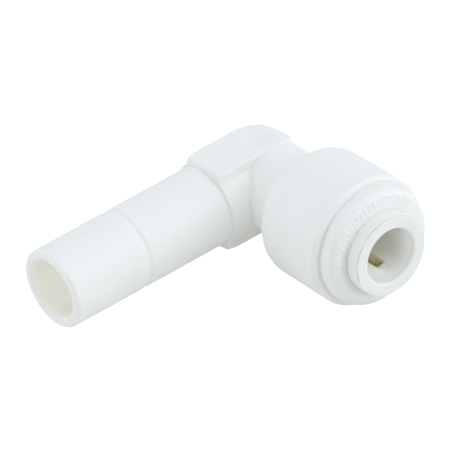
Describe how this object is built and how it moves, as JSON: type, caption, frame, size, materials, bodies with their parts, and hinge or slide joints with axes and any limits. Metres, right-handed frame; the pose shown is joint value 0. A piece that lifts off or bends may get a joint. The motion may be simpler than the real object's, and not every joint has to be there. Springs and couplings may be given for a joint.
{
  "type": "push to connect stem elbow",
  "caption": "White plastic elbow with a plain plug-in stem at one end and, at right angles, a push to connect socket that grips and seals a tube and lets it go when its collet is pushed in.",
  "frame": {"origin": "middle of the bounding box in plan, at the lowest point of the socket", "axes": "-X along the stem towards its end, -Y along the socket towards its mouth, +Z square to the plane of the two ports"},
  "size_m": [0.0376, 0.028, 0.0155],
  "materials": {
    "white_plastic": "satin moulded white plastic",
    "black_rubber": "smooth nitrile rubber",
    "stainless_steel": "stamped stainless steel"
  },
  "bodies": {
    "housing": {"elbow_body": "white_plastic", "end_cap": "white_plastic", "o_ring": "black_rubber"},
    "backing": {"spacer_ring": "white_plastic"},
    "release": {"collet": "white_plastic", "grip_tooth_1": "stainless_steel", "grip_tooth_2": "stainless_steel", "grip_tooth_3": "stainless_steel", "grip_tooth_4": "stainless_steel"}
  },
  "joints": [
    {"name": "collet_turn", "type": "hinge", "parent": "housing", "child": "backing", "pos_m": [0.01103, -0.00316, 0.00775], "axis": [0, -1, 0], "continuous": true},
    {"name": "collet_push", "type": "slide", "parent": "backing", "child": "release", "axis": [0, 1, 0], "range_m": [0, 0.0014]}
  ]
}
